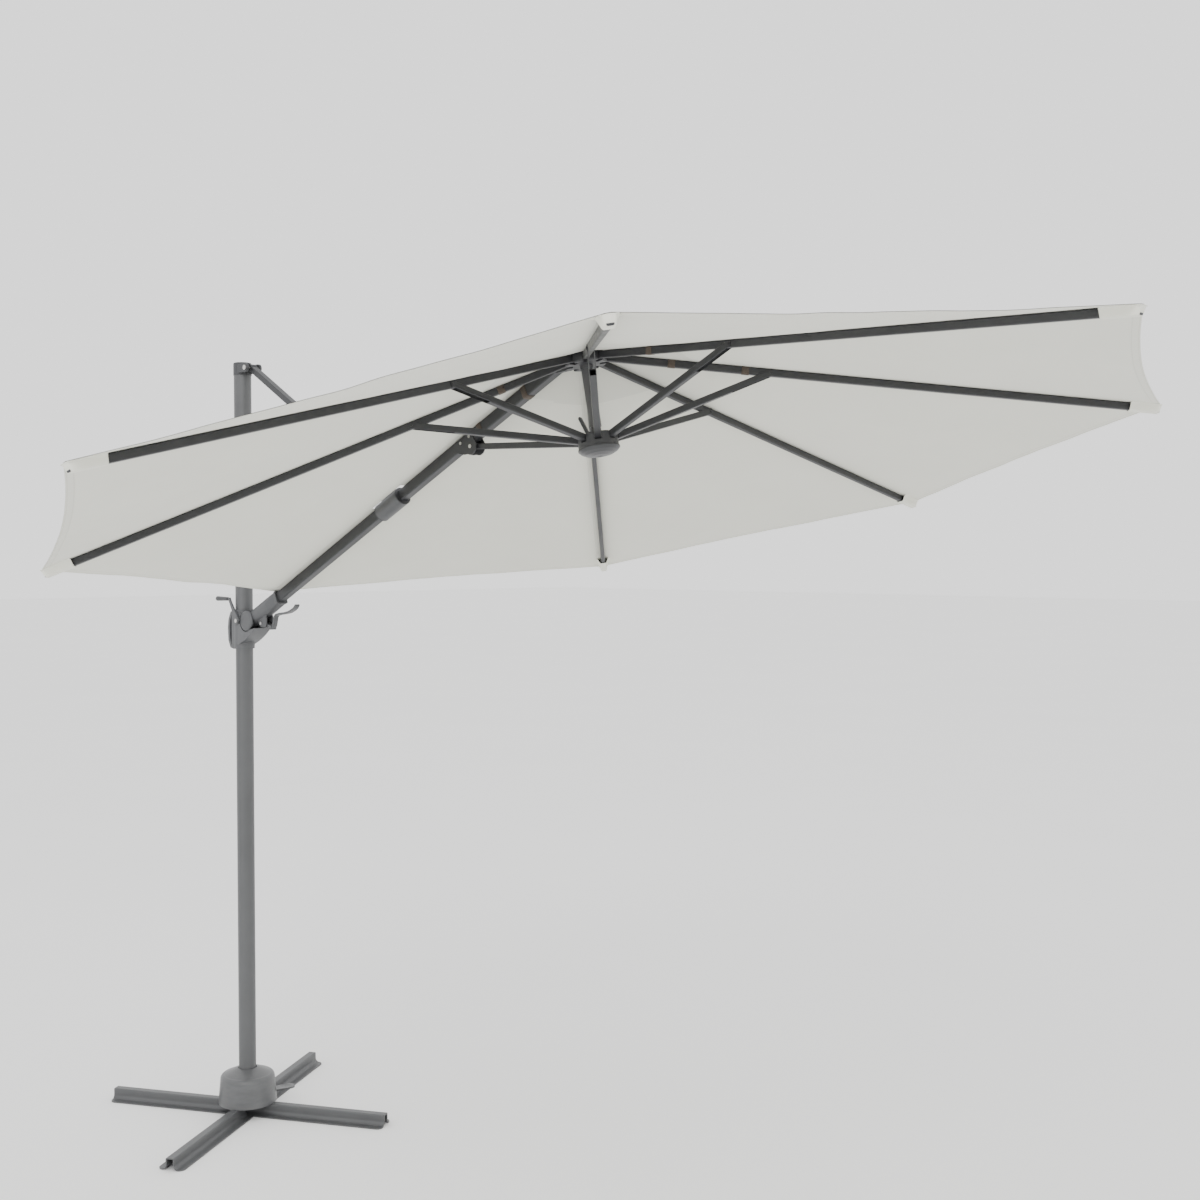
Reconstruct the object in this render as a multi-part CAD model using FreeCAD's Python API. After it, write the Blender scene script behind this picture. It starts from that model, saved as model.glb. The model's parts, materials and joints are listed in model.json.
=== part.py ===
import FreeCAD, Part
import math
import os

# Cantilever parasol. Millimetres, +Z up, +X from the mast towards the canopy.
# The origin is on the mast's axis at ground level, and XZ is the plane of the arm.

V = FreeCAD.Vector
X_AXIS = V(1, 0, 0)
Y_AXIS = V(0, 1, 0)
Z_AXIS = V(0, 0, 1)
ORIGIN = V(0, 0, 0)

# ---- driving dimensions ----
MAST_R = 30.0
MAST_WALL = 3.0
MAST_BOTTOM = 53.0
MAST_TOP = 2600.0
PIVOT_X = 62.0            # both mast pivots stand this far in front of the mast's axis
SLIDER_PIVOT_Z = 1744.0

ARM_ELEVATION = 26.0      # degrees above level when the parasol is open
ARM_LENGTH = 1750.0       # from the slider pivot to the hub pin, along the arm
ARM_H = 34.0
ARM_W = 30.0
ARM_WALL = 2.5
ARM_ABOVE_PIVOT = 4.0     # the arm's centre line passes this far above the slider pivot
PIN_DROP = 28.0           # the hub pin and the bracket pin lie this far below the arm's centre line

COLLAR_AT = 873.0         # along the arm
COLLAR_R = 28.5
COLLAR_LENGTH = 110.0
STRUT_PIN_RISE = 58.0     # the strut's pin stands this far above the arm's centre line
STRUT_W = 26.0
STRUT_H = 20.0
STRUT_WALL = 2.0

RIB_ANGLE = 76.0          # between a rib and the canopy's axis when open
RIB_REACH = 1507.0        # from the hub pin to the canopy's corner
RIB_W = 14.0
RIB_H = 20.0
RIB_WALL = 1.2
FOLD_LINK = 455.0         # hub pin to stretcher pin, and stretcher pin to runner pin
STRETCHER_SIZE = 18.0
STRETCHER_WALL = 1.5
PIN_CIRCLE_R = 48.0       # both hubs carry their pins on this radius
HUB_R = 57.0

FABRIC = 0.8
FABRIC_GAP = 1.2
CANOPY_INNER_R = 75.0
HEM_SAG = 26.0            # how far the hem curves in at the middle of each side
VENT_R = 290.0
VENT_RISE = 14.0
VENT_PEAK = 70.0          # above the pins of the top hub
SLIT_HALF_L = 78.0        # the opening in the cloth round the collar
SLIT_HALF_W = 33.0

BEAM_LENGTH = 1050.0
BEAM_HALF_W = 46.0
BEAM_HALF_TOP = 15.0
BEAM_H = 40.0
BEAM_SHEET = 4.0
BEAM_AZIMUTH = 30.0
PEDAL_AZIMUTH = 75.0

RIBS = {"g": 0, "f": 45, "e": 90, "d": 135, "b": 225, "a": 270, "h": 315}
ARM_SIDE = 180            # the arm takes the eighth rib's place

# ---- worked-out places ----
CANOPY_TILT = ARM_ELEVATION + RIB_ANGLE - 90.0
SLOPE = 90.0 - RIB_ANGLE
COLLAR_LIFT = STRUT_PIN_RISE + ARM_ABOVE_PIVOT
LINK = math.hypot(COLLAR_AT, COLLAR_LIFT)
LINK_ELEVATION = ARM_ELEVATION + math.degrees(math.atan2(COLLAR_LIFT, COLLAR_AT))
SLIDER_PIVOT = V(PIVOT_X, 0, SLIDER_PIVOT_Z)
STRUT_PIVOT = SLIDER_PIVOT + Z_AXIS * (2 * LINK * math.sin(math.radians(LINK_ELEVATION)))
HUB_GAP = 2 * FOLD_LINK * math.cos(math.radians(RIB_ANGLE))


def turned(angle, axis=Y_AXIS, origin=ORIGIN):
    """A frame at origin, turned by angle about axis."""
    return FreeCAD.Placement(origin, FreeCAD.Rotation(axis, angle))


def placed(shape, frame):
    moved = shape.copy()
    moved.Placement = frame.multiply(moved.Placement)
    return moved


# In the arm's frame X runs up the arm and Z is square to it, from the slider pivot.
ARM_FRAME = turned(-ARM_ELEVATION, Y_AXIS, SLIDER_PIVOT)
ARM_FRAME = ARM_FRAME.multiply(turned(0, Y_AXIS, V(0, 0, ARM_ABOVE_PIVOT)))
STRUT_FRAME = turned(LINK_ELEVATION, Y_AXIS, STRUT_PIVOT)
HUB_PIN = ARM_FRAME.multVec(V(ARM_LENGTH, 0, -PIN_DROP))
# In the hub's frame Z is the canopy's axis and X points away from the mast.
HUB_FRAME = turned(-CANOPY_TILT, Y_AXIS, HUB_PIN)
HUB_FRAME = HUB_FRAME.multiply(turned(0, Y_AXIS, V(PIN_CIRCLE_R, 0, 0)))
RUNNER_FRAME = HUB_FRAME.multiply(turned(0, Y_AXIS, V(0, 0, -HUB_GAP)))
BASE_FRAME = turned(BEAM_AZIMUTH, Z_AXIS)


def rib_frame(azimuth):
    """X runs out along the rib from its hub pin."""
    at_pin = turned(azimuth, Z_AXIS).multiply(turned(SLOPE, Y_AXIS, V(PIN_CIRCLE_R, 0, 0)))
    return HUB_FRAME.multiply(at_pin)


def stretcher_frame(azimuth):
    """X runs inwards along the stretcher from the rib's pin to the runner's pin."""
    junction = rib_frame(azimuth).multVec(V(FOLD_LINK, 0, 0))
    tilt = HUB_FRAME.Rotation.multiply(FreeCAD.Rotation(Z_AXIS, azimuth))
    tilt = tilt.multiply(FreeCAD.Rotation(Y_AXIS, 180.0 - SLOPE))
    return FreeCAD.Placement(junction, tilt)


# ---- shape helpers ----
def box(x0, x1, y0, y1, z0, z1):
    return Part.makeBox(x1 - x0, y1 - y0, z1 - z0, V(x0, y0, z0))


def rod(radius, start, end):
    """A round bar from start to end."""
    return Part.makeCylinder(radius, (end - start).Length, start, end - start)


def pin_y(radius, half, at=ORIGIN):
    """A round bar across the plane of the arm, centred on at."""
    return rod(radius, at - Y_AXIS * half, at + Y_AXIS * half)


def ring(outer, inner, start, end):
    longer = (end - start).normalize()
    bore = rod(inner, start - longer, end + longer)
    return rod(outer, start, end).cut(bore)


def rounded_bar(x0, x1, width, height, radius):
    """A bar along X with its long edges rounded."""
    bar = box(x0, x1, -width / 2, width / 2, -height / 2, height / 2)
    long_edges = [e for e in bar.Edges if abs(e.tangentAt(e.FirstParameter).x) > 0.9]
    return bar.makeFillet(radius, long_edges)


def rect_tube(x0, x1, width, height, wall, radius):
    outer = rounded_bar(x0, x1, width, height, radius)
    inner = rounded_bar(x0 - 1, x1 + 1, width - 2 * wall, height - 2 * wall, max(radius - wall, 0.4))
    return outer.cut(inner)


def plate_xz(points, y0, y1):
    """A plate with a straight-sided outline in XZ, from y0 to y1."""
    corners = [V(x, y0, z) for x, z in points]
    return Part.Face(Part.makePolygon(corners + corners[:1])).extrude(V(0, y1 - y0, 0))


def curved_plate(points, curve, y0, y1):
    """A plate in XZ whose outline runs straight through points, then smoothly through curve to close."""
    straight = [V(x, y0, z) for x, z in [curve[-1]] + points + [curve[0]]]
    bend = Part.BSplineCurve()
    bend.interpolate([V(x, y0, z) for x, z in curve])
    edges = [line(a, b) for a, b in zip(straight, straight[1:])] + [bend.toShape()]
    return Part.Face(Part.Wire(edges)).extrude(V(0, y1 - y0, 0))


def turned_profile(points):
    """A solid of revolution about Z, from (radius, height) points."""
    corners = [V(r, 0, z) for r, z in points]
    return Part.Face(Part.makePolygon(corners + corners[:1])).revolve(ORIGIN, Z_AXIS, 360)


def arc(a, b, c):
    return Part.Arc(a, b, c).toShape()


def line(a, b):
    return Part.makeLine(a, b)


def fuse_all(shapes):
    first = shapes[0]
    for other in shapes[1:]:
        first = first.fuse(other)
    return first.removeSplitter()


def cut_all(shape, tools):
    for tool in tools:
        shape = shape.cut(tool)
    return shape


def round_solid_edges(shape, radius, pick):
    return shape.makeFillet(radius, [e for e in shape.Edges if pick(e)])


# ---- base ----
def hat_channel(length):
    """A pressed steel channel along X: flat top, upright walls, and feet flared out to the ground."""
    flare = 14.0
    foot_x = BEAM_HALF_TOP + flare
    wall_x = BEAM_HALF_TOP - BEAM_SHEET
    mid = math.sqrt(0.5)
    under_flare = flare + BEAM_SHEET
    edges = []
    for side in (1, -1):
        centre = V(0, side * foot_x, BEAM_SHEET + flare)
        outer = [V(0, side * BEAM_HALF_W, BEAM_SHEET), V(0, side * foot_x, BEAM_SHEET)]
        outer_mid = centre + V(0, -side * flare * mid, -flare * mid)
        outer_up = V(0, side * BEAM_HALF_TOP, BEAM_SHEET + flare)
        top = V(0, side * BEAM_HALF_TOP, BEAM_H - BEAM_SHEET)
        top_mid = V(0, side * (wall_x + BEAM_SHEET * mid), BEAM_H - BEAM_SHEET * (1 - mid))
        top_in = V(0, side * wall_x, BEAM_H)
        inner = [V(0, side * BEAM_HALF_W, 0), V(0, side * foot_x, 0)]
        inner_mid = centre + V(0, -side * under_flare * mid, -under_flare * mid)
        inner_up = V(0, side * wall_x, BEAM_SHEET + flare)
        under_top = V(0, side * wall_x, BEAM_H - BEAM_SHEET)
        edges += [line(outer[0], outer[1]), arc(outer[1], outer_mid, outer_up)]
        edges += [line(outer_up, top), arc(top, top_mid, top_in)]
        edges += [line(inner[0], inner[1]), arc(inner[1], inner_mid, inner_up)]
        edges += [line(inner_up, under_top), line(outer[0], inner[0])]
    edges += [line(V(0, wall_x, BEAM_H), V(0, -wall_x, BEAM_H))]
    edges += [line(V(0, wall_x, BEAM_H - BEAM_SHEET), V(0, -wall_x, BEAM_H - BEAM_SHEET))]
    wire = Part.Wire(Part.__sortEdges__(edges))
    channel = Part.Face(wire).extrude(V(length, 0, 0))
    channel.translate(V(-length / 2, 0, 0))
    plan = box(-length / 2, length / 2, -BEAM_HALF_W, BEAM_HALF_W, -1, BEAM_H + 1)
    plan = round_solid_edges(plan, 20.0, lambda e: abs(e.tangentAt(e.FirstParameter).z) > 0.9)
    return channel.common(plan)


BOLT_AT = 52.0
SOCKET_PLATE_R = 76.0
SOCKET_PLATE = 6.0
SPIGOT_R = 25.0
SPIGOT_TOP = 330.0
LAP_CLEARANCE = 0.5
PLATE_TOP = BEAM_H + SOCKET_PLATE


def bolt_places():
    for azimuth in range(0, 360, 90):
        yield turned(azimuth, Z_AXIS).multVec(V(BOLT_AT, 0, 0))


def bolt_holes():
    return [rod(5.5, p - Z_AXIS, p + Z_AXIS * (PLATE_TOP + 1)) for p in bolt_places()]


def make_beams():
    """Two equal channels, lapped where they cross: one is cut from above and the other from below."""
    lap_z = BEAM_H / 2
    top_half = BEAM_HALF_TOP + LAP_CLEARANCE
    foot_half = BEAM_HALF_W + LAP_CLEARANCE
    lower = hat_channel(BEAM_LENGTH)
    lower = lower.cut(box(-top_half, top_half, -foot_half, foot_half, lap_z, BEAM_H + 1))
    upper = hat_channel(BEAM_LENGTH)
    upper = upper.cut(box(-foot_half, foot_half, -foot_half, foot_half, -1, lap_z + LAP_CLEARANCE))
    upper = placed(upper, turned(90, Z_AXIS))
    return cut_all(lower, bolt_holes()), cut_all(upper, bolt_holes())


def make_base_socket():
    """The plate bolted on the cross, with the tube that the mast turns on and the pedal's ears."""
    plate = rod(SOCKET_PLATE_R, Z_AXIS * BEAM_H, Z_AXIS * PLATE_TOP)
    plate = cut_all(plate, bolt_holes())
    spigot = ring(SPIGOT_R, SPIGOT_R - 4, Z_AXIS * PLATE_TOP, Z_AXIS * SPIGOT_TOP)
    ears = []
    for side in (1, -1):
        inner, outer = sorted((side * 12.5, side * 16.5))
        ear = box(PEDAL_PIVOT_R - 8, SOCKET_PLATE_R - 0.5, inner, outer, PLATE_TOP - 1, PEDAL_PIVOT_Z + 6)
        ears.append(ear)
    ears = Part.makeCompound(ears).cut(pin_y(3.05, 20, V(PEDAL_PIVOT_R, 0, PEDAL_PIVOT_Z)))
    ears = placed(ears, turned(PEDAL_AZIMUTH - BEAM_AZIMUTH, Z_AXIS))
    return fuse_all([plate, spigot] + ears.Solids)


def hexagon(across_flats, z0, z1, at):
    radius = across_flats / math.sqrt(3)
    corners = [at + V(radius * math.cos(a), radius * math.sin(a), z0)
               for a in (math.radians(60 * i) for i in range(7))]
    return Part.Face(Part.makePolygon(corners)).extrude(V(0, 0, z1 - z0))


def make_beam_bolts():
    bolts = []
    for place in bolt_places():
        shank = rod(5.0, place + Z_AXIS * (BEAM_H - 14), place + Z_AXIS * (PLATE_TOP + 6))
        head = hexagon(17.0, PLATE_TOP, PLATE_TOP + 6.4, place)
        nut = hexagon(17.0, BEAM_H - BEAM_SHEET - 8, BEAM_H - BEAM_SHEET, place)
        bolts.append(fuse_all([shank, head, nut]))
    return Part.makeCompound(bolts)


def make_socket_bearings():
    """Two plastic bushes between spigot and mast, and the washer that the mast stands on."""
    bush_r = MAST_R - MAST_WALL - 0.05
    bushes = [ring(bush_r, SPIGOT_R, Z_AXIS * z, Z_AXIS * (z + 40)) for z in (60.0, SPIGOT_TOP - 42)]
    washer = ring(MAST_R + 4, SPIGOT_R, Z_AXIS * PLATE_TOP, Z_AXIS * (MAST_BOTTOM - 0.05))
    return Part.makeCompound(bushes + [washer])


COVER_BOTTOM = BEAM_H + 0.3
COVER_R = 101.5
COVER_SHOULDER_R = 94.0
COVER_SHOULDER_Z = 126.0
COVER_TOP = 160.0
COVER_MOUTH_R = MAST_R + 2.5
COVER_WALL = 3.0


def cover_profile(inset):
    """The bell's outline as a closed face, moved inwards by inset."""
    low = V(COVER_R - inset, 0, COVER_BOTTOM)
    shoulder = V(COVER_SHOULDER_R - inset, 0, COVER_SHOULDER_Z)
    bend = V(COVER_SHOULDER_R - 4 - inset, 0, COVER_SHOULDER_Z + 9 - inset * 0.8)
    rim = V(COVER_SHOULDER_R - 14 - inset, 0, COVER_SHOULDER_Z + 14 - inset)
    dome = V(58.0 - inset * 0.4, 0, COVER_SHOULDER_Z + 24 - inset)
    mouth = V(COVER_MOUTH_R, 0, COVER_TOP - inset)
    foot = V(COVER_MOUTH_R, 0, COVER_BOTTOM)
    edges = [line(low, shoulder), arc(shoulder, bend, rim), arc(rim, dome, mouth)]
    edges += [line(mouth, foot), line(foot, low)]
    return Part.Face(Part.Wire(edges)).revolve(ORIGIN, Z_AXIS, 360)


def make_base_cover():
    cover = cover_profile(0.0).cut(cover_profile(COVER_WALL))
    slot = box(80, 110, -23, 23, COVER_BOTTOM - 1, PEDAL_PIVOT_Z + 16)
    return cover.cut(placed(slot, turned(PEDAL_AZIMUTH - BEAM_AZIMUTH, Z_AXIS)))


PEDAL_PIVOT_R = 68.0
PEDAL_PIVOT_Z = 57.0
PEDAL_TIP_R = 172.0
BRAKE_RING_Z = 62.0
BRAKE_RING_R = 49.0
PEDAL_FRAME = turned(PEDAL_AZIMUTH - BEAM_AZIMUTH, Z_AXIS)


def make_brake_pedal():
    """A rounded, dished foot plate outside the cover and a shoe that lifts under the brake ring."""
    thin = 3.0
    half = 20.0
    z = PEDAL_PIVOT_Z
    tread = box(PEDAL_PIVOT_R + 28, PEDAL_TIP_R, -half, half, z + 2, z + 2 + 2 * thin)
    upright = [e for e in tread.Edges
               if abs(e.tangentAt(e.FirstParameter).z) > 0.9 and e.BoundBox.XMin > PEDAL_TIP_R - 1]
    tread = tread.makeFillet(half - 1, upright)
    dish = Part.makeSphere(90.0, V(PEDAL_TIP_R - 34, 0, z + 2 + 2 * thin + 87.5))
    tread = tread.cut(dish)
    shank = box(PEDAL_PIVOT_R, PEDAL_PIVOT_R + 32, -9, 9, z - 1, z + 6)
    barrel = pin_y(6.5, 9, V(PEDAL_PIVOT_R, 0, z))
    shoe = box(38.0, PEDAL_PIVOT_R, -9, 9, z - 5, z + 0.5)
    pedal = fuse_all([tread, shank, barrel, shoe])
    pedal = pedal.cut(pin_y(3.05, 20, V(PEDAL_PIVOT_R, 0, z)))
    return placed(pedal, PEDAL_FRAME)


def make_pedal_pin():
    return placed(pin_y(3.0, 17.5, V(PEDAL_PIVOT_R, 0, PEDAL_PIVOT_Z)), PEDAL_FRAME)


def make_pedal_spring():
    """A close-wound torsion spring of three turns round the pedal's pin, beside the barrel."""
    wire_r = 0.6
    coil_r = 4.6
    pitch = 1.1
    groove = coil_r + 0.25
    outline = [(coil_r - wire_r, -1.5 * pitch)]
    for turn in (-1, 0, 1):
        outline += [(groove, (turn - 0.5) * pitch), (coil_r + wire_r, turn * pitch)]
    outline += [(groove, 1.5 * pitch), (coil_r - wire_r, 1.5 * pitch)]
    coils = turned_profile(outline)
    legs = [rod(wire_r, V(side * coil_r, 0, side * pitch), V(side * coil_r, side * 8.0, side * pitch))
            for side in (1, -1)]
    lay = turned(90, X_AXIS, V(PEDAL_PIVOT_R, 10.75, PEDAL_PIVOT_Z))
    return placed(placed(fuse_all([coils] + legs), lay), PEDAL_FRAME)


# ---- mast ----
def make_mast():
    return ring(MAST_R, MAST_R - MAST_WALL, Z_AXIS * MAST_BOTTOM, Z_AXIS * MAST_TOP)


def make_brake_ring():
    return ring(BRAKE_RING_R, MAST_R, Z_AXIS * BRAKE_RING_Z, Z_AXIS * (BRAKE_RING_Z + 8))


EAR_INNER = 21.5
EAR_OUTER = 29.0
EAR_R = 15.0


def make_mast_head():
    """A casting plugged into the mast, with two ears that hold the strut's pivot."""
    plug = rod(MAST_R - MAST_WALL - 0.05, Z_AXIS * (MAST_TOP - 60), Z_AXIS * (MAST_TOP + 1))
    cap = rod(MAST_R + 1.5, Z_AXIS * MAST_TOP, Z_AXIS * (STRUT_PIVOT.z + EAR_R + 8))
    rim = cap.Edges[0]
    for edge in cap.Edges:
        if edge.BoundBox.ZMin > rim.BoundBox.ZMin + 1:
            rim = edge
    cap = cap.makeFillet(5.0, [rim])
    ears = []
    for side in (1, -1):
        inner, outer = sorted((side * EAR_INNER, side * EAR_OUTER))
        web = box(0, PIVOT_X, inner, outer, STRUT_PIVOT.z - EAR_R, STRUT_PIVOT.z + EAR_R)
        nose = rod(EAR_R, V(PIVOT_X, inner, STRUT_PIVOT.z), V(PIVOT_X, outer, STRUT_PIVOT.z))
        ears += [web, nose]
    head = fuse_all([plug, cap] + ears)
    swing = pin_y(24.0, EAR_INNER, STRUT_PIVOT)
    head = head.cut(swing)
    return head.cut(pin_y(5.05, 40, STRUT_PIVOT))


def bolt_with_heads(at, radius, half_grip, head_r, head):
    shank = pin_y(radius, half_grip + head, at)
    ends = [rod(head_r, at + Y_AXIS * s * half_grip, at + Y_AXIS * s * (half_grip + head)) for s in (1, -1)]
    return fuse_all([shank] + ends)


def make_mast_head_bolt():
    return bolt_with_heads(STRUT_PIVOT, 5.0, EAR_OUTER, 8.5, 4.0)


# ---- strut and collar ----
def make_strut():
    tube = rect_tube(14, LINK - 14, STRUT_W, STRUT_H, STRUT_WALL, 3.0)
    inner_w, inner_h = STRUT_W - 2 * STRUT_WALL, STRUT_H - 2 * STRUT_WALL
    plugs = [rounded_bar(x, x + 44, inner_w, inner_h, 1.0) for x in (0, LINK - 44)]
    eyes = [pin_y(12.5, STRUT_W / 2, V(x, 0, 0)) for x in (0, LINK)]
    strut = fuse_all([tube] + plugs + eyes)
    strut = cut_all(strut, [pin_y(5.05, 30, V(x, 0, 0)) for x in (0, LINK)])
    return placed(strut, STRUT_FRAME)


COLLAR_BORE = 24.5
COLLAR_EAR_INNER = STRUT_W / 2 + 0.6
COLLAR_EAR = 5.5


def make_arm_collar():
    """A round collar that the arm turns in, with two ears for the strut on top."""
    start = V(COLLAR_AT - COLLAR_LENGTH / 2, 0, 0)
    end = V(COLLAR_AT + COLLAR_LENGTH / 2, 0, 0)
    body = rod(COLLAR_R, start, end)
    ears = []
    for side in (1, -1):
        inner, outer = sorted((side * COLLAR_EAR_INNER, side * (COLLAR_EAR_INNER + COLLAR_EAR)))
        outline = [(COLLAR_AT - 30, 0), (COLLAR_AT + 30, 0), (COLLAR_AT + 12, STRUT_PIN_RISE),
                   (COLLAR_AT - 12, STRUT_PIN_RISE)]
        ears.append(plate_xz(outline, inner, outer))
        top = V(COLLAR_AT, 0, STRUT_PIN_RISE)
        ears.append(rod(12.5, top + Y_AXIS * inner, top + Y_AXIS * outer))
    collar = fuse_all([body] + ears)
    collar = collar.cut(rod(COLLAR_BORE, start - X_AXIS, end + X_AXIS))
    collar = collar.cut(pin_y(5.05, 40, V(COLLAR_AT, 0, STRUT_PIN_RISE)))
    return placed(collar, ARM_FRAME)


def make_strut_bolt():
    grip = COLLAR_EAR_INNER + COLLAR_EAR
    bolt = bolt_with_heads(V(COLLAR_AT, 0, STRUT_PIN_RISE), 5.0, grip, 8.5, 4.0)
    return placed(bolt, ARM_FRAME)


# ---- arm ----
FERRULE_R = 28.0
FERRULE_START = 38.0
FERRULE_ROUND_END = 128.0
FERRULE_LOFT_END = 172.0
FERRULE_END = 188.0
FERRULE_W = 40.0
FERRULE_H = 44.0
ARM_START = 142.0
ARM_END = 1684.0
SHAFT_R = 18.0
BRACKET_AT = ARM_LENGTH - FOLD_LINK
BRACKET_PLATE = 3.5


def make_arm():
    arm = rect_tube(ARM_START, ARM_END, ARM_W, ARM_H, ARM_WALL, 4.0)
    return placed(cut_all(arm, [pin_y(2.55, 40, V(x, 0, 0)) for x in BRACKET_RIVETS]), ARM_FRAME)


def section_yz(x, width, height, radius):
    """A rounded rectangle square to X, as a wire."""
    bar = rounded_bar(x, x + 1, width, height, radius)
    for face in bar.Faces:
        if face.BoundBox.XMax < x + 0.01:
            return face.OuterWire
    raise ValueError("the bar has no end face")


def make_arm_ferrule():
    """The arm's end fitting: round behind, where it turns on the knuckle, and rectangular in front."""
    round_part = rod(FERRULE_R, V(FERRULE_START, 0, 0), V(FERRULE_ROUND_END, 0, 0))
    rear = section_yz(FERRULE_ROUND_END, 2 * FERRULE_R - 0.4, 2 * FERRULE_R - 0.4, FERRULE_R - 0.3)
    front = section_yz(FERRULE_LOFT_END, FERRULE_W, FERRULE_H, 5.0)
    neck = Part.makeLoft([rear, front], True, True)
    lip = rounded_bar(FERRULE_LOFT_END, FERRULE_END, FERRULE_W + 3, FERRULE_H + 3, 6.0)
    lip_step = rounded_bar(FERRULE_LOFT_END - 1, FERRULE_END - 6, FERRULE_W, FERRULE_H, 5.0)
    lip = lip.common(box(FERRULE_END - 8, FERRULE_END + 1, -40, 40, -40, 40)).fuse(lip_step)
    cheeks = []
    for side in (1, -1):
        inner, outer = sorted((side * 10.6, side * 14.6))
        outline = [(44, -16), (44, -40), (50, -50), (74, -62), (84, -56), (93, -38), (96, -22), (96, -16)]
        cheeks.append(plate_xz(outline, inner, outer))
    ferrule = fuse_all([round_part, neck, lip] + cheeks)
    ferrule = ferrule.cut(rod(SHAFT_R + 0.05, V(FERRULE_START - 30, 0, 0), V(ARM_START - 8, 0, 0)))
    ferrule = ferrule.cut(rounded_bar(ARM_START - 0.05, FERRULE_END + 1, ARM_W + 0.1, ARM_H + 0.1, 4.0))
    ferrule = ferrule.cut(pin_y(3.05, 30, TILT_LEVER_PIN))
    return placed(ferrule, ARM_FRAME)


def make_collar_bush():
    """A round plastic bush on the rectangular arm, flanged at both ends to hold the collar."""
    gap = 0.3
    flange = 3.0
    low = COLLAR_AT - COLLAR_LENGTH / 2 - gap
    high = COLLAR_AT + COLLAR_LENGTH / 2 + gap
    core = rod(COLLAR_BORE - 0.08, V(low - flange, 0, 0), V(high + flange, 0, 0))
    flanges = [rod(COLLAR_R, V(low - flange, 0, 0), V(low, 0, 0)),
               rod(COLLAR_R, V(high, 0, 0), V(high + flange, 0, 0))]
    bush = fuse_all([core] + flanges)
    bush = bush.cut(rounded_bar(low - 10, high + 10, ARM_W + 0.1, ARM_H + 0.1, 4.0))
    return placed(bush, ARM_FRAME)


HEAD_TONGUE_HALF = RIB_W / 2


def make_arm_head():
    """A plug in the arm's top end, drawn out to a tongue that drops to the hub pin."""
    plug = rounded_bar(ARM_END - 60, ARM_END, ARM_W - 2 * ARM_WALL - 0.1, ARM_H - 2 * ARM_WALL - 0.1, 1.4)
    cap = rounded_bar(ARM_END, ARM_END + 8, ARM_W, ARM_H, 4.0)
    outline = [(ARM_END + 4, ARM_H / 2 - 1), (ARM_END + 22, ARM_H / 2 - 4), (ARM_LENGTH + 9, -PIN_DROP + 6),
               (ARM_LENGTH - 6, -PIN_DROP - 9), (ARM_END + 4, -ARM_H / 2 + 1)]
    tongue = plate_xz(outline, -HEAD_TONGUE_HALF, HEAD_TONGUE_HALF)
    pin = V(ARM_LENGTH, 0, -PIN_DROP)
    head = fuse_all([plug, cap, tongue, pin_y(10.0, HEAD_TONGUE_HALF, pin)])
    return placed(head.cut(pin_y(3.05, 30, pin)), ARM_FRAME)


def make_stretcher_bracket():
    """Two rounded plates riveted to the arm's sides, hanging down to the stretcher's pin."""
    plates = []
    for side in (1, -1):
        inner, outer = sorted((side * ARM_W / 2, side * (ARM_W / 2 + BRACKET_PLATE)))
        body = [(BRACKET_AT - 60, 12), (BRACKET_AT + 8, 12), (BRACKET_AT + 19, 4),
                (BRACKET_AT + LOBE_R, -PIN_DROP), (BRACKET_AT, -PIN_DROP - LOBE_R + 2),
                (BRACKET_AT - 34, -38), (BRACKET_AT - 70, -12), (BRACKET_AT - 70, 2)]
        plate = plate_xz(body, inner, outer)
        lobe = rod(LOBE_R, V(BRACKET_AT, inner, -PIN_DROP), V(BRACKET_AT, outer, -PIN_DROP))
        plate = fuse_all([plate, lobe])
        plate = plate.cut(pin_y(3.05, 40, V(BRACKET_AT, 0, -PIN_DROP)))
        plates.append(cut_all(plate, [pin_y(2.55, 40, V(x, 0, 0)) for x in BRACKET_RIVETS]))
    return placed(Part.makeCompound(plates), ARM_FRAME)


LOBE_R = 25.0
BRACKET_RIVETS = (BRACKET_AT - 34, BRACKET_AT + 8)


def make_bracket_rivets():
    rivets = []
    for x in BRACKET_RIVETS:
        for side in (1, -1):
            root = V(x, side * (ARM_W / 2 - ARM_WALL), 0)
            face = V(x, side * (ARM_W / 2 + BRACKET_PLATE), 0)
            rivets.append(rod(2.5, root, face).fuse(rod(4.5, face, face + Y_AXIS * side * 1.8)))
    return placed(Part.makeCompound(rivets), ARM_FRAME)


def make_bracket_pin():
    """The pin through the bracket, with a spacer bush each side of the stretcher."""
    at = V(BRACKET_AT, 0, -PIN_DROP)
    pin = bolt_with_heads(at, 3.0, ARM_W / 2 + BRACKET_PLATE, 5.5, 2.2)
    inner = STRETCHER_SIZE / 2 + 0.3
    outer = ARM_W / 2 - 0.1
    spacers = [ring(8.0, 3.05, at + Y_AXIS * s * inner, at + Y_AXIS * s * outer) for s in (1, -1)]
    return placed(Part.makeCompound([pin] + spacers), ARM_FRAME)


# ---- tilt lever under the ferrule ----
TILT_LEVER_PIN = V(56.0, 0, -38.0)


def swept_bar(points, half_width, half_depth):
    """A flat bar bent along points in XZ, with a round joint at each point."""
    pieces = []
    for (x0, z0), (x1, z1) in zip(points, points[1:]):
        run = V(x1 - x0, 0, z1 - z0)
        across = V(-run.z, 0, run.x).normalize() * half_depth
        start = V(x0, -half_width, z0)
        corners = [start + across, start + run + across, start + run - across, start - across]
        pieces.append(Part.Face(Part.makePolygon(corners + corners[:1])).extrude(Y_AXIS * 2 * half_width))
    pieces += [pin_y(half_depth, half_width, V(x, 0, z)) for x, z in points]
    return fuse_all(pieces)


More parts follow.
